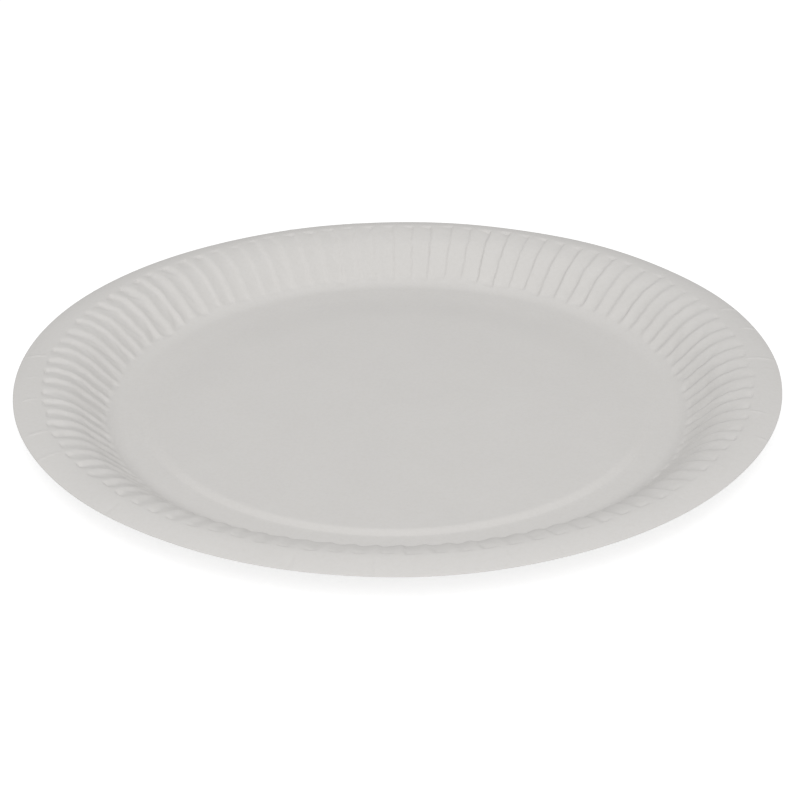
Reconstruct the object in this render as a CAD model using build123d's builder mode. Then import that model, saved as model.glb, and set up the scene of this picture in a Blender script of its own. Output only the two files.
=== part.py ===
"""Round disposable plate, pressed in one piece from flat paper board.

The plate is one continuous sheet of board. From the middle outwards its food side has a flat
raised panel, a soft step down to a flat ring that the plate stands on, a wall pleated all round
into lapped flutes, a narrow level crest and a smooth rim that rolls down to the cut edge.

Frame: millimetres, +Z up, origin on the axis in the plane that the plate stands on.
"""

from build123d import *

import os
from math import cos, radians, sin, tan

# Sheet and overall sizes
board = 0.4
plate_diameter = 230.0
plate_height = 13.3

# Rings of the pressing, each measured along the radius
rim_width = 7.5
rim_drop = 1.5
crest_width = 0.4
base_ring_width = 6.0

# Slope of the pleated wall, in degrees from the ring it stands on
wall_angle = 42.7

# Bends on the food side: foot and shoulder of the wall, and the break from crest to rim
base_bend_radius = 8.0
shoulder_radius = 18.0
rim_break_radius = 5.0
rim_break_angle = 9.0

# Raised middle panel: a bend, then a straight slope in degrees down to the base ring
panel_rise = 1.0
step_bend_radius = 2.7
step_angle = 25.0

# Pleats: a wide face leans one way and a narrower fold face brings the board back
pleat_count = 98
pleat_depth = 0.5
fold_share = 0.35

# Length by which a section runs past the ring that trims it
section_lap = 2.0

# Straight part of the wall between its two bends, and the length the whole wall takes up
bend_sum = base_bend_radius + shoulder_radius
bend_rise = bend_sum * (1 - cos(radians(wall_angle)))
wall_length = (plate_height - board - bend_rise) / sin(radians(wall_angle))
wall_run = bend_sum * sin(radians(wall_angle)) + wall_length * cos(radians(wall_angle))

# Radii that follow, outside to inside
plate_radius = plate_diameter / 2
rim_start = plate_radius - rim_width
crest_start = rim_start - crest_width
base_radius = crest_start - wall_run
panel_radius = base_radius - base_ring_width

# Straight slope of the panel's step, after its bend
step_bend_drop = step_bend_radius * (1 - cos(radians(step_angle)))
step_slope_run = (panel_rise - step_bend_drop) / tan(radians(step_angle))
step_width = step_bend_radius * sin(radians(step_angle)) + step_slope_run

# Pleat layout: a fold lies nearer the axis than a valley, in the same ratio at every radius
pleat_pitch = 360 / pleat_count
fold_azimuth = pleat_pitch * (1 - fold_share)
wall_middle_radius = base_radius + wall_run / 2
fold_shift = pleat_depth / sin(radians(wall_angle))
fold_ratio = 1 - fold_shift / wall_middle_radius
flute_start = base_radius * fold_ratio - board


def azimuth_point(azimuth, radius=1.0):
    """Point in the base plane at an azimuth in degrees and a distance from the axis."""
    return Vector(radius * cos(radians(azimuth)), radius * sin(radians(azimuth)), 0)


def radial_plane(azimuth):
    """Upright plane through the axis: local x runs outwards, local y runs up."""
    return Plane(origin=(0, 0, 0), x_dir=azimuth_point(azimuth), z_dir=azimuth_point(azimuth - 90))


def wall_section(azimuth):
    """Section of the board through the pleated band, on the radial plane of a valley."""
    with BuildSketch(radial_plane(azimuth)) as section:
        with BuildLine():
            ring = Line((flute_start - section_lap, board), (base_radius, board))
            base_bend = JernArc(ring @ 1, ring % 1, base_bend_radius, wall_angle)
            wall = PolarLine(base_bend @ 1, wall_length, wall_angle)
            shoulder = JernArc(wall @ 1, wall % 1, shoulder_radius, -wall_angle)
            Line(shoulder @ 1, (rim_start + section_lap, plate_height))
            offset(amount=board, side=Side.RIGHT)
        make_face()
    return section.sketch


def pleat_face(valley_azimuth):
    """Board between a valley and the fold of the first pleat, as one straight-line surface."""
    along = azimuth_point(fold_azimuth, fold_ratio) - azimuth_point(valley_azimuth)
    reach = along.length * (plate_radius + section_lap)
    with BuildPart() as face:
        extrude(wall_section(valley_azimuth), amount=reach, dir=along.normalized())
        side = Keep.TOP if valley_azimuth < fold_azimuth else Keep.BOTTOM
        split(bisect_by=radial_plane(fold_azimuth), keep=side)
    return face.part


# One pleat, trimmed to the band between the base ring and the rim
with BuildPart() as pleat:
    add(pleat_face(0))
    add(pleat_face(pleat_pitch))
    with BuildSketch():
        Circle(rim_start)
        Circle(flute_start, mode=Mode.SUBTRACT)
    extrude(amount=plate_height + board, mode=Mode.INTERSECT)

# Whole plate: middle, rim, and the pleats between them
with BuildPart() as plate:
    with BuildSketch(Plane.XZ) as middle:
        with BuildLine():
            panel = Line((0, board + panel_rise), (panel_radius - step_width, board + panel_rise))
            step = JernArc(panel @ 1, panel % 1, step_bend_radius, -step_angle)
            step_slope = Line(step @ 1, (panel_radius, board))
            Line(step_slope @ 1, (flute_start, board))
            offset(amount=board, side=Side.RIGHT)
        make_face()
    revolve(axis=Axis.Z)

    with BuildSketch(Plane.XZ) as rim:
        with BuildLine():
            rim_break = JernArc((rim_start, plate_height), (1, 0), rim_break_radius, -rim_break_angle)
            cut_edge = (plate_radius, plate_height - rim_drop)
            TangentArc(rim_break @ 1, cut_edge, tangent=rim_break % 1)
            offset(amount=board, side=Side.RIGHT)
        make_face()
    revolve(axis=Axis.Z)

    with PolarLocations(0, pleat_count):
        add(pleat.part)

plate.part.label = "plate"
os.makedirs("parts", exist_ok=True)
export_step(plate.part, "parts/plate.step")
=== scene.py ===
"""Looks of a round disposable paper plate, pressed from one sheet of board.

The plate is one closed sheet: a raised middle panel, a soft step, the ring it stands on, a
wall pressed into lapped pleats, a narrow crest and a rim that rolls to the cut edge.

Frame: metres, +Z up, origin on the axis in the plane that the plate stands on. Azimuths run
anticlockwise from +X, in radians unless a name says degrees.
"""

import logging
import math
from dataclasses import dataclass, field
from enum import Enum

import bpy
import numpy as np
from mathutils import Matrix, Vector

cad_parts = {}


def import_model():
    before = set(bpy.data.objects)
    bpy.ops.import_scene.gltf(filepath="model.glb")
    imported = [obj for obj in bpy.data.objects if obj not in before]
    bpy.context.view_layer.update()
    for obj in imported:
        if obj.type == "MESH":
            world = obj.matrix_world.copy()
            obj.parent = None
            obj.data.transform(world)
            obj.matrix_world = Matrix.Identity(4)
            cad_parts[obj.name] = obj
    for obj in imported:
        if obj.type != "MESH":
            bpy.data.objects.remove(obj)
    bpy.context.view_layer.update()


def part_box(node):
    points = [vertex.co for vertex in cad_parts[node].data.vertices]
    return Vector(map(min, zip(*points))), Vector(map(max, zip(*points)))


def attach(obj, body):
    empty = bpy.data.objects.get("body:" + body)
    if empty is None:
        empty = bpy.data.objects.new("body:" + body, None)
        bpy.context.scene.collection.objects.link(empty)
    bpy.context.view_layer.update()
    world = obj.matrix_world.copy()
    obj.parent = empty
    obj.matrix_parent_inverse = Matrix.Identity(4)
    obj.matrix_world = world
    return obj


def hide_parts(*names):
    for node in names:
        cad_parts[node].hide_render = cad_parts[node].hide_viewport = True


LOG = logging.getLogger("paper_plate")
MM = 0.001
FULL_TURN = 2 * math.pi


class BoardFace(Enum):
    """Face of the board that a run of points lies on."""

    FOOD = "food"
    UNDERSIDE = "underside"


def smooth_step(low: float, high: float, value: np.ndarray) -> np.ndarray:
    """Smooth climb from 0 to 1.

    Args:
        low: Value at which the climb starts.
        high: Value at which it ends, above low.
        value: Values to map.

    Returns:
        The height of the climb at each value.
    """
    part = np.clip((value - low) / (high - low), 0.0, 1.0)
    return part * part * (3.0 - 2.0 * part)


def seen_directly(nodes: bpy.types.Nodes, links: bpy.types.NodeLinks) -> bpy.types.NodeSocket:
    """Adds nodes that tell a ray from the camera, a mirror or glass from a ray of light.

    Args:
        nodes: Nodes of a material or a world.
        links: Its links.

    Returns:
        A socket that is 1 for such a ray and 0 for any other.
    """
    path = nodes.new("ShaderNodeLightPath")
    seen = nodes.new("ShaderNodeMath")
    seen.operation = "MAXIMUM"
    links.new(path.outputs["Is Camera Ray"], seen.inputs[0])
    links.new(path.outputs["Is Glossy Ray"], seen.inputs[1])
    through = nodes.new("ShaderNodeMath")
    through.operation = "MAXIMUM"
    links.new(seen.outputs["Value"], through.inputs[0])
    links.new(path.outputs["Is Transmission Ray"], through.inputs[1])
    return through.outputs["Value"]


@dataclass
class SheetSection:
    """Section of the plate's food side along a radius, as one run of points and normals.

    The section is followed by its length, from the axis to the cut edge. Sizes are in millimetres.
    The step is crisp where the sine of the way to the front passes from crisp_from to crisp_to.
    """

    radius: float
    height: float
    board: float = 0.4
    rim_width: float = 7.5
    rim_drop: float = 1.5
    crest_width: float = 0.3
    base_ring_width: float = 6.2
    wall_angle: float = math.radians(42.7)
    base_bend_radius: float = 8.0
    shoulder_radius: float = 18.0
    rim_break_radius: float = 3.0
    rim_break_angle: float = math.radians(5.0)
    panel_rise: float = 1.0
    step_bend_radius: float = 2.7
    step_angle: float = math.radians(25.0)
    soft_start: float = 58.0
    crisp_from: float = -0.1
    crisp_to: float = 0.55
    grain: float = 0.05
    slope_reach: float = 0.12

    def __post_init__(self) -> None:
        """Lays out the section as short straight pieces and measures its length."""
        bends = self.base_bend_radius + self.shoulder_radius
        bend_rise = bends * (1 - math.cos(self.wall_angle))
        straight = (self.height - self.board - bend_rise) / math.sin(self.wall_angle)
        wall_run = bends * math.sin(self.wall_angle) + straight * math.cos(self.wall_angle)
        self.rim_start = self.radius - self.rim_width
        self.crest_start = self.rim_start - self.crest_width
        self.wall_start = self.crest_start - wall_run
        self.panel_edge = self.wall_start - self.base_ring_width
        bend_drop = self.step_bend_radius * (1 - math.cos(self.step_angle))
        self.step_ramp = (self.panel_rise - bend_drop) / math.sin(self.step_angle)
        step_run = self.step_bend_radius * math.sin(self.step_angle)
        self.step_width = step_run + self.step_ramp * math.cos(self.step_angle)
        slopes = self._slopes(straight)
        points = np.concatenate([np.zeros((1, 2)), np.cumsum(slopes, axis=0)])
        points[:, 1] += self.board + self.panel_rise
        lengths = np.concatenate([[0.0], np.cumsum(np.hypot(slopes[:, 0], slopes[:, 1]))])
        self.lengths = lengths
        self.points = points
        self.total = float(lengths[-1])

    def _slopes(self, straight: float) -> np.ndarray:
        """Small steps (outwards, up) that make up the section.

        Args:
            straight: Length of the wall's straight part.

        Returns:
            Steps of about the grain in length, one row each.
        """
        edge_run = self.rim_width - self.rim_break_radius * math.sin(self.rim_break_angle)
        edge_drop = self.rim_drop - self.rim_break_radius * (1 - math.cos(self.rim_break_angle))
        chord = math.hypot(edge_run, edge_drop)
        edge_turn = 2 * (math.atan2(edge_drop, edge_run) - self.rim_break_angle)
        edge_radius = chord / (2 * math.sin(edge_turn / 2))
        runs = [
            (0.0, 0.0, self.panel_edge - self.step_width),
            (0.0, -self.step_angle, self.step_bend_radius * self.step_angle),
            (-self.step_angle, -self.step_angle, self.step_ramp),
            (0.0, 0.0, self.wall_start - self.panel_edge),
            (0.0, self.wall_angle, self.base_bend_radius * self.wall_angle),
            (self.wall_angle, self.wall_angle, straight),
            (self.wall_angle, 0.0, self.shoulder_radius * self.wall_angle),
            (0.0, 0.0, self.crest_width),
            (0.0, -self.rim_break_angle, self.rim_break_radius * self.rim_break_angle),
            (-self.rim_break_angle, -self.rim_break_angle - edge_turn, edge_radius * edge_turn),
        ]
        steps = []
        for start, end, length in runs:
            count = max(2, math.ceil(length / self.grain))
            angles = start + (end - start) * (np.arange(count) + 0.5) / count
            steps.append(np.stack([np.cos(angles), np.sin(angles)], axis=1) * (length / count))
        return np.concatenate(steps)

    def along(self, radius: float) -> float:
        """Length along the section at which the smooth food side reaches a radius."""
        return float(np.interp(radius, self.points[:, 0], self.lengths))

    def point(self, length: np.ndarray) -> tuple[np.ndarray, np.ndarray]:
        """Radius and height of the food side at some lengths along the section.

        Args:
            length: Lengths along the section.

        Returns:
            Radii and heights.
        """
        radii = np.interp(length, self.lengths, self.points[:, 0])
        heights = np.interp(length, self.lengths, self.points[:, 1])
        return radii, heights

    def soften(self, radii: np.ndarray, azimuths: np.ndarray) -> np.ndarray:
        """Height that turns the crisp step into a long soft fall, all round but at the front.

        Args:
            radii: Smooth radius of each ring.
            azimuths: Azimuth of each point (ring, column).

        Returns:
            Height (ring, column), in millimetres.
        """
        crisp = np.interp(radii, self.points[:, 0], self.points[:, 1]) - self.board
        soft = self.panel_rise * (1 - smooth_step(self.soft_start, self.panel_edge, radii))
        inside = radii < self.wall_start
        share = 1 - smooth_step(self.crisp_from, self.crisp_to, -np.sin(azimuths))
        return np.where(inside, soft - crisp, 0.0)[:, None] * share

    def normal(self, length: np.ndarray) -> tuple[np.ndarray, np.ndarray]:
        """Outward and upward parts of the food side's normal.

        Args:
            length: Lengths along the section.

        Returns:
            Outward parts and upward parts, of unit length together.
        """
        inner = np.clip(length - self.slope_reach, 0.0, self.total - 2 * self.slope_reach)
        r0, z0 = self.point(inner)
        r1, z1 = self.point(inner + 2 * self.slope_reach)
        size = np.hypot(r1 - r0, z1 - z0)
        return -(z1 - z0) / size, (r1 - r0) / size


@dataclass(frozen=True)
class Crease:
    """One crease in the rim, in line with the fold of a pleat. A groove has a height below 0."""

    azimuth: float
    inner: float
    outer: float
    height: float


@dataclass(frozen=True)
class Wave:
    """One wave along the radius: its length in millimetres and its size."""

    length: float
    size: float


@dataclass(frozen=True)
class Stretch:
    """A stretch of the pleats round an azimuth, in degrees, where something is less by a share."""

    azimuth: float
    width: float
    share: float

    def keep(self, azimuths: np.ndarray) -> np.ndarray:
        """Share that is kept at each azimuth in degrees."""
        return 1 - self.share * np.exp(-(((azimuths - self.azimuth) / self.width) ** 2))


@dataclass
class Pleats:
    """The lapped pleats of the wall, each a little different from the next.

    Sizes are in millimetres. A pleat is followed by its share, 0 and 1 in a valley and `fold` on
    the fold; `marks` are the shares of its columns of points and `climbs` how far up from the
    valley to the fold each lies. A name in _spread is the spread of a random draw.
    """

    section: SheetSection
    count: int = 98
    depth: float = 0.52
    fold: float = 0.65
    first_ring: float = 87.3
    last_ring: float = 106.0
    start_run: float = 1.2
    end_run: float = 0.8
    turn: float = -0.09
    narrow_folds: Stretch = Stretch(72.0, 26.0, 0.55)
    shallow_pleats: Stretch = Stretch(113.0, 14.0, 0.35)
    front_slack: float = 0.2
    right_slack: float = 0.25
    pit: float = 0.07
    pit_width: float = 0.55
    seed: int = 11
    shift_spread: float = 0.02
    depth_spread: float = 0.16
    inner_spread: float = 0.4
    outer_spread: float = 0.3
    share_spread: float = 0.13
    hook_spread: float = 0.15
    hook_reach: float = 2.2
    wanders: tuple[Wave, ...] = (Wave(14.0, 0.08), Wave(7.5, 0.09), Wave(4.4, 0.10), Wave(3.0, 0.05))
    long_swell: Wave = Wave(9.0, 0.18)
    short_swell: Wave = Wave(5.3, 0.14)
    marks: tuple[float, ...] = (0.0, 0.11, 0.24, 0.37, 0.49, 0.58, 0.65, 0.70, 0.77, 0.85, 0.93)
    climbs: tuple[float, ...] = (0.0, 0.05, 0.22, 0.46, 0.72, 0.92, 1.0, 0.93, 0.66, 0.32, 0.07)

    def __post_init__(self) -> None:
        """Draws what makes each pleat differ."""
        draw = np.random.default_rng(self.seed)
        waves = len(self.wanders)
        self.pitch = FULL_TURN / self.count
        self.shift = draw.normal(0.0, self.shift_spread, self.count)
        self.depths = self.depth * np.clip(draw.normal(1.0, self.depth_spread, self.count), 0.55, 1.4)
        self.inner_end = self.first_ring + draw.normal(0.0, self.inner_spread, self.count)
        self.outer_end = self.last_ring + draw.normal(0.0, self.outer_spread, self.count)
        self.share = np.clip(draw.normal(1.0, self.share_spread, self.count), 0.7, 1.35)
        self.waves = draw.normal(0.0, 1.0, (self.count, waves))
        self.phases = draw.uniform(0.0, FULL_TURN, (self.count, waves))
        self.hooks = draw.normal(0.0, self.hook_spread, self.count)
        self.pits = self.pit * np.clip(draw.normal(0.6, 0.6, self.count), 0.0, 1.6)
        self.folds = np.arange(self.count) + self.fold + self.shift + self.turn
        azimuths = self.folds * self.pitch
        self.share *= self.narrow_folds.keep(np.degrees(azimuths))
        self.depths *= self.shallow_pleats.keep(np.degrees(azimuths))
        self.depths *= 1 - self.front_slack * smooth_step(0.45, 0.95, -np.sin(azimuths))
        self.top_gain = -self.right_slack * np.cos(azimuths)

    def columns(self, radii: np.ndarray) -> tuple[np.ndarray, np.ndarray, np.ndarray]:
        """Where each column of points lies on each ring.

        Args:
            radii: Smooth radius of each ring, in millimetres.

        Returns:
            Azimuths (ring, column), share of the way through its pleat of each column, and
            the pleat number of each column.
        """
        marks = np.array(self.marks)
        pleat = np.repeat(np.arange(self.count), len(marks))
        mark = np.tile(marks, self.count)
        fold = self.fold
        valley = self.folds + (1 - fold) * self.share
        before = np.roll(valley, 1) - np.where(np.arange(self.count) == 0, self.count, 0)
        face = before[pleat] + (self.folds - before)[pleat] * mark / fold
        lap = self.folds[pleat] + (valley - self.folds)[pleat] * (mark - fold) / (1 - fold)
        rest = np.where(mark <= fold, face, lap)
        own = self.wander(radii)
        last = np.roll(own, 1, axis=1)
        pull = np.clip(mark / fold, 0.0, 1.0)
        wander = last[:, pleat] * (1 - pull) + own[:, pleat] * pull
        size = radii[:, None] * self.pitch
        azimuths = (rest[None, :] + wander / size) * self.pitch
        return azimuths, mark, pleat

    def wander(self, radii: np.ndarray) -> np.ndarray:
        """Sideways wander of each fold line from its radial line.

        Args:
            radii: Smooth radius of each ring.

        Returns:
            Wander (ring, pleat) in millimetres.
        """
        inside = smooth_step(self.first_ring - 5, self.first_ring + 2, radii)
        fade = inside * (1 - 0.5 * smooth_step(self.last_ring + 1, self.section.radius, radii))
        total = np.zeros((len(radii), self.count))
        for turn, wave in enumerate(self.wanders):
            angle = FULL_TURN * radii[:, None] / wave.length + self.phases[None, :, turn]
            total += wave.size * self.waves[None, :, turn] * np.sin(angle)
        reach = self.hook_reach
        start = np.clip((self.inner_end[None, :] + reach - radii[:, None]) / reach, 0.0, 1.5)
        return total * fade[:, None] + self.hooks[None, :] * start**2

    def drop(self, radii: np.ndarray, mark: np.ndarray, pleat: np.ndarray) -> np.ndarray:
        """How far below the smooth sheet the pleated sheet lies; the folds are level with it.

        Args:
            radii: Smooth radius of each ring.
            mark: Share of the way through its pleat of each column.
            pleat: Pleat number of each column.

        Returns:
            Depth along the normal (ring, column), in millimetres.
        """
        climb = np.tile(np.array(self.climbs), self.count)
        near = np.clip(mark / self.fold, 0.0, 1.0)
        last = np.roll(np.arange(self.count), 1)[pleat]
        ring = radii[:, None]
        inner = self.inner_end[last] * (1 - near) + self.inner_end[pleat] * near
        outer = self.outer_end[last] * (1 - near) + self.outer_end[pleat] * near
        size = self.depths[last] * (1 - near) + self.depths[pleat] * near
        start = smooth_step(0.0, self.start_run, ring - inner[None, :])
        end = 1 - smooth_step(0.0, self.end_run, ring - outer[None, :])
        phase = self.phases[last, 0] * (1 - near) + self.phases[pleat, 0] * near
        slow, fast = self.long_swell, self.short_swell
        swell = 1.0 + slow.size * np.sin(FULL_TURN * ring / slow.length + phase[None, :])
        swell += fast.size * np.sin(FULL_TURN * ring / fast.length + 3.0 * phase[None, :])
        swell *= 1 + self.top_gain[pleat][None, :] * smooth_step(98.0, 103.0, ring)
        narrow = 1.0 + 1.6 * smooth_step(102.5, self.last_ring, ring)
        valley = np.clip(1 - 5.0 * climb, 0.0, 1.0)[None, :]
        past = (ring - outer[None, :] + 0.2) / self.pit_width
        pit = self.pits[last][None, :] * valley * np.exp(-(past**2))
        return size[None, :] * start * end * swell * (1 - climb[None, :]) ** narrow + pit


@dataclass
class RimCreases:
    """Creases and slight waves of the smooth rim and crest. Sizes are in millimetres.

    The rim is higher by `saddle` at the left and right than the mean and lower by it at the front
    and back, `nod` higher at the front, and curled down by `curl` at the back. The crest sags by
    `sag` at the front. Waves round the rim start at `first_wave` to a turn.
    """

    section: SheetSection
    pleats: Pleats
    seed: int = 29
    fine_count: int = 36
    saddle: float = 0.48
    nod: float = 0.12
    rise: float = 0.25
    curl: float = 0.6
    sag: float = 0.12
    wave_count: int = 12
    first_wave: int = 3
    wave_size: float = 0.08
    settle: float = 0.13
    beside: float = 0.35
    strong: tuple[Crease, ...] = (
        Crease(1.0, 106.0, 114.4, 0.30),
        Crease(12.0, 110.5, 114.5, 0.40),
        Crease(20.0, 110.0, 114.5, 0.38),
        Crease(29.0, 111.0, 114.5, 0.18),
        Crease(176.5, 107.5, 114.0, 0.26),
        Crease(182.0, 108.5, 110.5, 0.20),
        Crease(189.0, 108.0, 112.3, 0.26),
        Crease(199.0, 107.6, 113.0, 0.30),
        Crease(208.5, 108.0, 114.6, 0.24),
        Crease(255.5, 110.0, 114.6, -0.16),
        Crease(267.0, 108.8, 114.4, -0.16),
        Crease(291.0, 111.0, 114.0, -0.14),
        Crease(336.0, 112.0, 114.8, 0.20),
        Crease(344.5, 106.5, 109.5, 0.22),
    )

    def __post_init__(self) -> None:
        """Draws the fine creases and the waves."""
        draw = np.random.default_rng(self.seed)
        fine = []
        for _ in range(self.fine_count):
            inner = 107.0 + 5.0 * draw.random()
            length = 1.5 + 3.5 * draw.random()
            height = (0.03 + 0.06 * draw.random()) * (1 if draw.random() < 0.5 else -1)
            fine.append(Crease(360.0 * draw.random(), inner, inner + length, height))
        self.creases = list(self.strong) + fine
        self.tilt = draw.uniform(0.0, FULL_TURN, self.wave_count)
        self.size = draw.normal(0.0, 1.0, self.wave_count)

    def drop(self, radii: np.ndarray, azimuths: np.ndarray) -> np.ndarray:
        """Depth of the creases on each ring; each crease lies on one fold's column of points.

        Args:
            radii: Smooth radius of each ring.
            azimuths: Azimuth of each point (ring, column).

        Returns:
            Depth along the normal (ring, column), in millimetres.
        """
        total = np.zeros_like(azimuths)
        marks = len(self.pleats.marks)
        mark = self.pleats.marks.index(self.pleats.fold)
        folds = self.pleats.folds * self.pleats.pitch
        for crease in self.creases:
            apart = (folds - math.radians(crease.azimuth) + math.pi) % FULL_TURN - math.pi
            column = int(np.argmin(np.abs(apart))) * marks + mark
            reach = smooth_step(crease.inner - 0.5, crease.inner + 0.5, radii)
            reach = reach * (1 - smooth_step(crease.outer - 0.5, crease.outer + 0.5, radii))
            total[:, column] -= crease.height * reach
            total[:, column - 1] -= self.beside * crease.height * reach
        return total

    def lift(self, radii: np.ndarray, azimuths: np.ndarray) -> np.ndarray:
        """Height that the waves and the warp of the crest and rim add.

        Args:
            radii: Smooth radius of each ring.
            azimuths: Azimuth of each point (ring, column).

        Returns:
            Height (ring, column), in millimetres, nothing at the ring the plate stands on.
        """
        total = np.zeros_like(azimuths)
        for turn in range(self.wave_count):
            waves = turn + self.first_wave
            size = self.wave_size / math.sqrt(waves)
            total += size * self.size[turn] * np.sin(waves * azimuths + self.tilt[turn])
        grow = smooth_step(self.section.wall_start, self.section.radius, radii) ** 1.5
        rim = np.clip((radii - self.section.crest_start) / self.section.rim_width, 0.0, 1.05)[:, None]
        warp = self.saddle * np.cos(2 * azimuths) - self.nod * np.sin(azimuths) + self.rise
        curl = self.curl * rim**3 * (0.5 + 0.5 * np.sin(azimuths))
        bump = smooth_step(86.0, 99.0, radii) * (1 - smooth_step(101.0, self.section.crest_start, radii))
        sag = self.sag * bump[:, None] * smooth_step(0.2, 0.8, -np.sin(azimuths))
        return (total - self.settle) * grow[:, None] + warp * rim - curl - sag


@dataclass
class PressedPlate:
    """The whole plate as one closed mesh of pressed board."""

    section: SheetSection
    pleats: Pleats
    creases: RimCreases
    name: str = "plate_board"
    panel_rings: tuple[float, ...] = (6.0, 16.0, 28.0, 40.0, 50.0, 57.0, 60.0, 63.0, 66.0, 68.7)

    def food_rings(self) -> np.ndarray:
        """Lengths along the section of the food side's fine rings, from the panel outwards."""
        section = self.section
        step = section.panel_edge - section.step_width
        radii = [
            *(step - 2.6, step - 0.5, step + 0.1, step + 0.45, step + 0.85, step + 1.25),
            *(section.panel_edge - 0.9, section.panel_edge - 0.12, section.panel_edge + 0.12),
            *(section.panel_edge + 1.0, section.panel_edge + 3.2, section.wall_start - 0.5),
            *(section.wall_start + 0.6, section.wall_start + 1.6, section.wall_start + 2.5),
        ]
        lengths = [section.along(radius) for radius in radii]
        first = section.along(self.pleats.first_ring - 0.9)
        wall = section.along(self.pleats.first_ring + 2.4)
        crest = section.along(self.pleats.last_ring - 1.4)
        rim = section.along(self.pleats.last_ring + 1.6)
        lengths += list(np.linspace(first, wall, 8))
        lengths += list(np.linspace(wall, crest, 15)[1:-1])
        lengths += list(np.linspace(crest, rim, 9))
        lengths += list(np.linspace(rim, section.total - 0.9, 6)[1:])
        lengths += [section.total - 0.35, section.total - 0.08]
        return np.array(lengths)

    def under_rings(self) -> np.ndarray:
        """Lengths along the section of the underside's fine rings, from the edge inwards."""
        section = self.section
        step = section.panel_edge - section.step_width
        lengths = [section.total - 0.12, section.total - 1.0]
        lengths += list(np.linspace(section.total - 2.6, section.along(107.6), 3))
        lengths += list(np.linspace(section.along(106.9), section.along(88.2), 15))
        radii = [
            *(section.wall_start + 2.6, section.wall_start + 1.2, section.wall_start + 0.1),
            *(section.wall_start - 1.4, section.panel_edge + 0.6, section.panel_edge - 0.4),
            *(step + 1.4, step + 0.5, step - 0.6, step - 2.6),
        ]
        return np.array(lengths + [section.along(radius) for radius in radii])

    def _surface(self, lengths: np.ndarray, below: float) -> np.ndarray:
        """Points of the pressed sheet on fine rings.

        Args:
            lengths: Length along the section of each ring.
            below: How far under the food side the points lie, along the normal.

        Returns:
            Points (ring, column, 3), in millimetres.
        """
        radii, heights = self.section.point(lengths)
        out, up = self.section.normal(lengths)
        azimuths, mark, pleat = self.pleats.columns(radii)
        drop = self.pleats.drop(radii, mark, pleat) + self.creases.drop(radii, azimuths) + below
        reach = radii[:, None] - out[:, None] * drop
        rise = heights[:, None] - up[:, None] * drop + self.creases.lift(radii, azimuths)
        rise += self.section.soften(radii, azimuths)
        return np.stack([reach * np.cos(azimuths), reach * np.sin(azimuths), rise], axis=2)

    def _panel(self, azimuths: np.ndarray, face: BoardFace) -> np.ndarray:
        """Points of the panel's coarse rings, one column to a pleat.

        Args:
            azimuths: Azimuth of each coarse column.
            face: Face of the board that the points lie on.

        Returns:
            Points (ring, coarse column, 3), in millimetres.
        """
        rings = np.array(self.panel_rings)
        radii = rings[:, None]
        height = self.section.panel_rise + (self.section.board if face is BoardFace.FOOD else 0.0)
        wide = np.broadcast_to(azimuths, (len(rings), len(azimuths)))
        rise = height + self.section.soften(rings, wide)
        return np.stack([radii * np.cos(wide), radii * np.sin(wide), rise], axis=2)

    def build(self) -> bpy.types.Object:
        """Makes the mesh.

        Returns:
            The plate as one object, in metres, with smooth shading.
        """
        board = self.section.board
        food = self._surface(self.food_rings(), 0.0)
        edge = self._surface(np.array([self.section.total]), board / 2)
        under = self._surface(self.under_rings(), board)
        fine = np.concatenate([food, edge, under])
        rings, wide = fine.shape[:2]
        marks = len(self.pleats.marks)
        coarse_count = self.pleats.count
        azimuths = np.arctan2(food[0, ::marks, 1], food[0, ::marks, 0])
        top = self._panel(azimuths, BoardFace.FOOD)
        bottom = self._panel(azimuths, BoardFace.UNDERSIDE)
        centre_height = board + self.section.panel_rise
        centres = np.array([[0.0, 0.0, centre_height], [0.0, 0.0, centre_height - board]])
        points = np.concatenate(
            [fine.reshape(-1, 3), top.reshape(-1, 3), bottom.reshape(-1, 3), centres]
        )
        top_start = rings * wide
        bottom_start = top_start + top.shape[0] * coarse_count
        top_centre = bottom_start + bottom.shape[0] * coarse_count
        faces: list[tuple[int, ...]] = []
        for ring in range(rings - 1):
            here, there = ring * wide, (ring + 1) * wide
            for column in range(wide):
                after = (column + 1) % wide
                faces.append((here + column, there + column, there + after, here + after))
        faces += self._middle(top_start, 0, top_centre, BoardFace.FOOD)
        last = (rings - 1) * wide
        faces += self._middle(bottom_start, last, top_centre + 1, BoardFace.UNDERSIDE)
        mesh = bpy.data.meshes.new(self.name)
        mesh.from_pydata((points * MM).tolist(), [], faces)
        mesh.polygons.foreach_set("use_smooth", [True] * len(mesh.polygons))
        mesh.validate()
        mesh.update()
        piece = bpy.data.objects.new(self.name, mesh)
        bpy.context.scene.collection.objects.link(piece)
        return piece

    def _middle(self, start: int, ring: int, centre: int, face: BoardFace) -> list[tuple[int, ...]]:
        """Faces of the panel, from the first fine ring to the axis.

        Args:
            start: Number of the first coarse point.
            ring: Number of the first point of the fine ring that it joins.
            centre: Number of the point on the axis.
            face: Face of the board that is made.

        Returns:
            Faces as tuples of point numbers.
        """
        count, marks = self.pleats.count, len(self.pleats.marks)
        rings = len(self.panel_rings)
        faces: list[tuple[int, ...]] = []
        outer = start + (rings - 1) * count
        for column in range(count):
            after = (column + 1) % count
            fine = [ring + column * marks + step for step in range(marks)]
            fine.append(ring + after * marks)
            half = marks // 2
            for step in range(marks):
                anchor = outer + (column if step < half else after)
                faces.append((anchor, fine[step], fine[step + 1]))
            faces.append((outer + column, fine[half], outer + after))
            for level in range(rings - 1):
                inner = start + level * count
                wider = inner + count
                faces.append((inner + column, wider + column, wider + after, inner + after))
            faces.append((centre, start + column, start + after))
        return [corners[::-1] for corners in faces] if face is BoardFace.UNDERSIDE else faces


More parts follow.
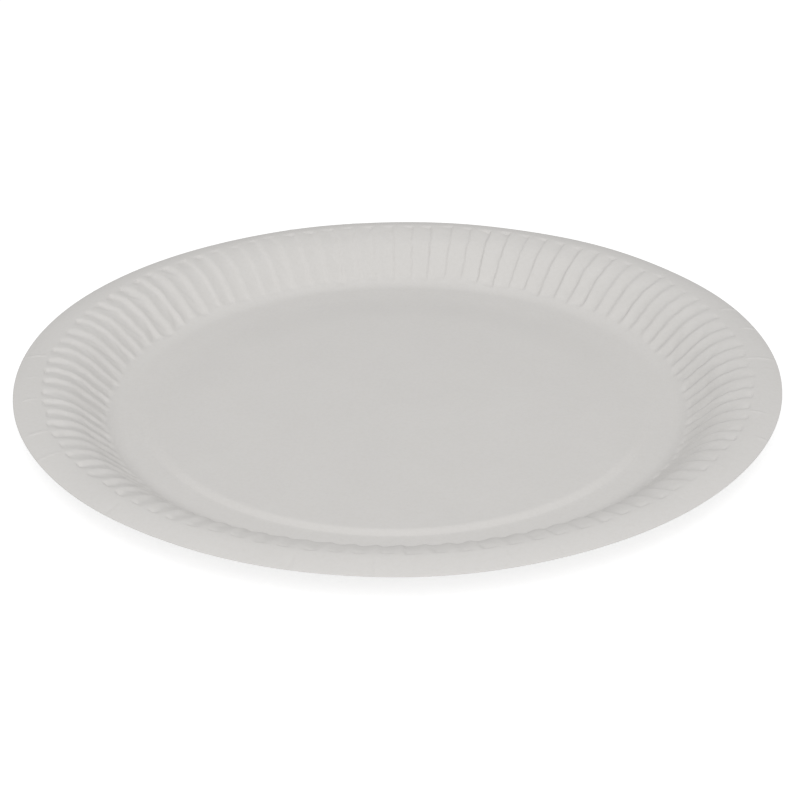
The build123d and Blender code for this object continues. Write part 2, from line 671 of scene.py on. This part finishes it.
@dataclass(frozen=True)
class BoardFinish:
    """Uncoated white board: matt, a little warm, with a faint cloud and a fine fibre.

    Noise scales are to a metre. `cloud_change` is how far the cloud lightens and darkens.
    """

    name: str = "paper_board"
    colour: tuple[float, float, float] = (0.679, 0.665, 0.648)
    roughness: float = 0.9
    gloss: float = 0.15
    cloud_scale: float = 45.0
    cloud_change: float = 0.01
    fibre_scale: float = 900.0
    fibre_shade: tuple[float, float, float] = (0.975, 0.973, 0.968)
    bump_share: float = 0.25
    bump_height: float = 0.00003

    def build(self) -> bpy.types.Material:
        """Makes the material from procedural nodes.

        Returns:
            The material.
        """
        material = bpy.data.materials.new(self.name)
        material.use_nodes = True
        nodes, links = material.node_tree.nodes, material.node_tree.links
        shader = nodes["Principled BSDF"]
        shader.inputs["Roughness"].default_value = self.roughness
        shader.inputs["Specular IOR Level"].default_value = self.gloss
        place = nodes.new("ShaderNodeTexCoord")
        cloud = self._noise(nodes, links, place, self.cloud_scale, 5.0, 0.6)
        fibre = self._noise(nodes, links, place, self.fibre_scale, 3.0, 0.7)
        shade = nodes.new("ShaderNodeValToRGB")
        shade.color_ramp.elements[0].position = 0.3
        dark, light = 1 - self.cloud_change, 1 + self.cloud_change
        shade.color_ramp.elements[0].color = (*(part * dark for part in self.colour), 1.0)
        shade.color_ramp.elements[1].position = 0.7
        shade.color_ramp.elements[1].color = (*(part * light for part in self.colour), 1.0)
        links.new(cloud.outputs["Fac"], shade.inputs["Fac"])
        fleck = nodes.new("ShaderNodeValToRGB")
        fleck.color_ramp.elements[0].position = 0.3
        fleck.color_ramp.elements[0].color = (*self.fibre_shade, 1.0)
        fleck.color_ramp.elements[1].position = 0.6
        fleck.color_ramp.elements[1].color = (1.0, 1.0, 1.0, 1.0)
        links.new(fibre.outputs["Fac"], fleck.inputs["Fac"])
        mix = nodes.new("ShaderNodeMix")
        mix.data_type = "RGBA"
        mix.blend_type = "MULTIPLY"
        mix.inputs["Factor"].default_value = 1.0
        links.new(shade.outputs["Color"], mix.inputs["A"])
        links.new(fleck.outputs["Color"], mix.inputs["B"])
        links.new(mix.outputs["Result"], shader.inputs["Base Color"])
        bump = nodes.new("ShaderNodeBump")
        bump.inputs["Strength"].default_value = self.bump_share
        bump.inputs["Distance"].default_value = self.bump_height
        links.new(fibre.outputs["Fac"], bump.inputs["Height"])
        links.new(bump.outputs["Normal"], shader.inputs["Normal"])
        return material

    @staticmethod
    def _noise(
        nodes: bpy.types.Nodes,
        links: bpy.types.NodeLinks,
        place: bpy.types.Node,
        scale: float,
        detail: float,
        roughness: float,
    ) -> bpy.types.Node:
        """A noise texture laid in the object's own space.

        Args:
            nodes: The material's nodes.
            links: The material's links.
            place: Texture coordinate node.
            scale: Noise scale, per metre.
            detail: Noise detail.
            roughness: Noise roughness.

        Returns:
            The noise node.
        """
        noise = nodes.new("ShaderNodeTexNoise")
        noise.inputs["Scale"].default_value = scale
        noise.inputs["Detail"].default_value = detail
        noise.inputs["Roughness"].default_value = roughness
        links.new(place.outputs["Object"], noise.inputs["Vector"])
        return noise


@dataclass(frozen=True)
class StudioFloor:
    """Plain white floor that shows white where nothing shades it and keeps the soft shadow.

    `colour` is what lights the plate from below, `seen_colour` and `glow` what the eye sees.
    """

    name: str = "studio_floor"
    half_size: float = 6.0
    colour: float = 0.86
    seen_colour: float = 0.42
    glow: float = 0.75

    def build(self, level: float) -> bpy.types.Object:
        """Makes the floor.

        Args:
            level: Height of the plane the plate stands on, in metres.

        Returns:
            The floor object.
        """
        mesh = bpy.data.meshes.new(self.name)
        side = self.half_size
        ways = ((-1, -1), (1, -1), (1, 1), (-1, 1))
        corners = [(side * across, side * along, level) for across, along in ways]
        mesh.from_pydata(corners, [], [(0, 1, 2, 3)])
        mesh.materials.append(self._material())
        floor = bpy.data.objects.new(self.name, mesh)
        bpy.context.scene.collection.objects.link(floor)
        return floor

    def _material(self) -> bpy.types.Material:
        """White that gets a little of its own light for what the eye sees directly.

        Returns:
            The material.
        """
        material = bpy.data.materials.new(self.name)
        material.use_nodes = True
        nodes, links = material.node_tree.nodes, material.node_tree.links
        nodes.clear()
        output = nodes.new("ShaderNodeOutputMaterial")
        paint = nodes.new("ShaderNodeBsdfDiffuse")
        glow = nodes.new("ShaderNodeEmission")
        glow.inputs["Color"].default_value = (1.0, 1.0, 1.0, 1.0)
        seen = seen_directly(nodes, links)
        shade = nodes.new("ShaderNodeMix")
        shade.data_type = "RGBA"
        shade.inputs["A"].default_value = (self.colour, self.colour, self.colour, 1.0)
        shade.inputs["B"].default_value = (self.seen_colour, self.seen_colour, self.seen_colour, 1.0)
        links.new(seen, shade.inputs["Factor"])
        links.new(shade.outputs["Result"], paint.inputs["Color"])
        level = nodes.new("ShaderNodeMath")
        level.operation = "MULTIPLY"
        level.inputs[1].default_value = self.glow
        links.new(seen, level.inputs[0])
        links.new(level.outputs["Value"], glow.inputs["Strength"])
        total = nodes.new("ShaderNodeAddShader")
        links.new(paint.outputs["BSDF"], total.inputs[0])
        links.new(glow.outputs["Emission"], total.inputs[1])
        links.new(total.outputs["Shader"], output.inputs["Surface"])
        return material


@dataclass(frozen=True)
class SoftLights:
    """Even studio light: a pale surround and one broad soft lamp in front and above."""

    surround: float = 0.565
    lamp_power: float = 18.6
    lamp_size: float = 0.9
    lamp_place: tuple[float, float, float] = (0.0, -1.414, 1.414)

    def build(self) -> None:
        """Makes the world and the lamp."""
        world = bpy.data.worlds.new("surround")
        bpy.context.scene.world = world
        world.use_nodes = True
        nodes, links = world.node_tree.nodes, world.node_tree.links
        nodes.clear()
        output = nodes.new("ShaderNodeOutputWorld")
        light = nodes.new("ShaderNodeBackground")
        light.inputs["Color"].default_value = (1.0, 1.0, 1.0, 1.0)
        light.inputs["Strength"].default_value = self.surround
        white = nodes.new("ShaderNodeBackground")
        white.inputs["Color"].default_value = (1.0, 1.0, 1.0, 1.0)
        white.inputs["Strength"].default_value = 1.0
        mix = nodes.new("ShaderNodeMixShader")
        links.new(seen_directly(nodes, links), mix.inputs["Fac"])
        links.new(light.outputs["Background"], mix.inputs[1])
        links.new(white.outputs["Background"], mix.inputs[2])
        links.new(mix.outputs["Shader"], output.inputs["Surface"])
        lamp = bpy.data.lights.new("soft_lamp", "AREA")
        lamp.shape = "SQUARE"
        lamp.size = self.lamp_size
        lamp.energy = self.lamp_power
        stand = bpy.data.objects.new("soft_lamp", lamp)
        aim = Vector((0.0, 0.0, 0.0)) - Vector(self.lamp_place)
        stand.location = self.lamp_place
        stand.rotation_euler = aim.to_track_quat("-Z", "Y").to_euler()
        bpy.context.scene.collection.objects.link(stand)


@dataclass(frozen=True)
class ViewCamera:
    """Camera in front of the plate and above it, turned very slightly about its own axis."""

    distance: float = 0.700
    elevation: float = math.radians(28.07)
    lens: float = 103.5
    roll: float = math.radians(0.61)
    shift: tuple[float, float] = (0.003, 0.0074)

    def build(self) -> bpy.types.Object:
        """Makes the camera and gives it to the scene.

        Returns:
            The camera object.
        """
        data = bpy.data.cameras.new("view_camera")
        data.sensor_width = 36.0
        data.lens = self.lens
        data.clip_start = 0.01
        data.clip_end = 100.0
        data.shift_x, data.shift_y = self.shift
        camera = bpy.data.objects.new("view_camera", data)
        flat, high = math.cos(self.elevation), math.sin(self.elevation)
        place = Vector((0.0, -self.distance * flat, self.distance * high))
        turn = (-place).to_track_quat("-Z", "Y").to_matrix().to_4x4()
        camera.matrix_world = Matrix.Translation(place) @ turn @ Matrix.Rotation(-self.roll, 4, "Z")
        bpy.context.scene.collection.objects.link(camera)
        bpy.context.scene.camera = camera
        return camera


@dataclass
class PaperPlateScene:
    """Everything in the scene, built in order."""

    floor: StudioFloor = field(default_factory=StudioFloor)
    lights: SoftLights = field(default_factory=SoftLights)
    camera: ViewCamera = field(default_factory=ViewCamera)
    finish: BoardFinish = field(default_factory=BoardFinish)

    def build_plate(self) -> bpy.types.Object:
        """Builds the plate to the size of its CAD node and dresses it.

        Returns:
            The plate object, riding on the frame's one body.
        """
        low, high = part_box("plate")
        radius = (high[0] - low[0]) / 2 / MM
        section = SheetSection(radius=radius, height=(high[2] - low[2]) / MM)
        pleats = Pleats(section)
        plate = PressedPlate(section, pleats, RimCreases(section, pleats)).build()
        plate.data.materials.append(self.finish.build())
        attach(plate, "root")
        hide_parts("plate")
        return plate

    def build(self) -> None:
        """Builds the plate, the floor, the lights and the camera, and reports each."""
        plate = self.build_plate()
        mesh = plate.data
        LOG.info("%s: %d points, %d faces", plate.name, len(mesh.vertices), len(mesh.polygons))
        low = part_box("plate")[0]
        floor = self.floor.build(float(low[2]))
        LOG.info("%s at height %.4f", floor.name, low[2])
        self.lights.build()
        LOG.info("surround and soft lamp")
        camera = self.camera.build()
        LOG.info("%s at %s", camera.name, [round(value, 3) for value in camera.location])


def main() -> None:
    """Builds the scene in the frame."""
    logging.basicConfig(level=logging.INFO, format="%(name)s: %(message)s")
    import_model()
    PaperPlateScene().build()
    bpy.context.scene.view_settings.view_transform = "Standard"


if __name__ == "__main__":
    main()
